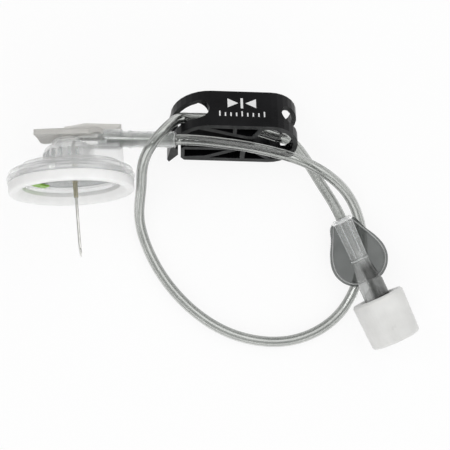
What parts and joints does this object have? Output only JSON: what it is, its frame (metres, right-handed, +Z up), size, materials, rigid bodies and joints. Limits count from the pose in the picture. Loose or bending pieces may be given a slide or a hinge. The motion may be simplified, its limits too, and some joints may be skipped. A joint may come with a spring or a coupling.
{
  "type": "safety huber needle set",
  "caption": "Port access needle with round foam-padded base, grip wings, looped extension tube, pinch clamp and capped luer connector.",
  "frame": {"origin": "on the table, under the middle of the needle's base, hub, wings and sleeve together", "axes": "+Z up from the table, +X towards the capped end along the tube's sleeve, +Y away from the needle's tip"},
  "size_m": [0.104, 0.0659, 0.0317],
  "materials": {
    "clear_plastic": "polished clear",
    "guard_plastic": "clear",
    "white_foam": "fine closed-cell foam",
    "lime_plastic": "satin",
    "needle_steel": "bright",
    "amber_adhesive": "cured glue",
    "hub_plastic": "clear",
    "soft_wing": "translucent soft vinyl",
    "tubing": "clear flexible vinyl",
    "black_clamp": "satin moulding",
    "smoke_connector": "translucent grey",
    "white_cap": "satin"
  },
  "bodies": {
    "hub": {"needle_hub": "hub_plastic", "grip_wings": "soft_wing", "needle_cannula": "needle_steel", "needle_ferrule": "amber_adhesive", "tube_sleeve": "tubing", "extension_tube": "tubing", "pinch_clamp": "black_clamp", "luer_connector": "smoke_connector"},
    "base": {"base_shell": "clear_plastic", "foam_ring": "white_foam", "guard_plate": "guard_plastic", "guard_clip": "needle_steel", "lock_tab": "lime_plastic"},
    "cap": {"luer_cap": "white_cap"}
  },
  "joints": [
    {"name": "base_slide", "type": "slide", "parent": "hub", "child": "base", "axis": [0.0918, -0.9764, 0.1956], "range_m": [0, 0.0165]},
    {"name": "cap_pull", "type": "slide", "parent": "hub", "child": "cap", "axis": [0.4163, -0.9092, 0], "range_m": [0, 0.012]}
  ]
}
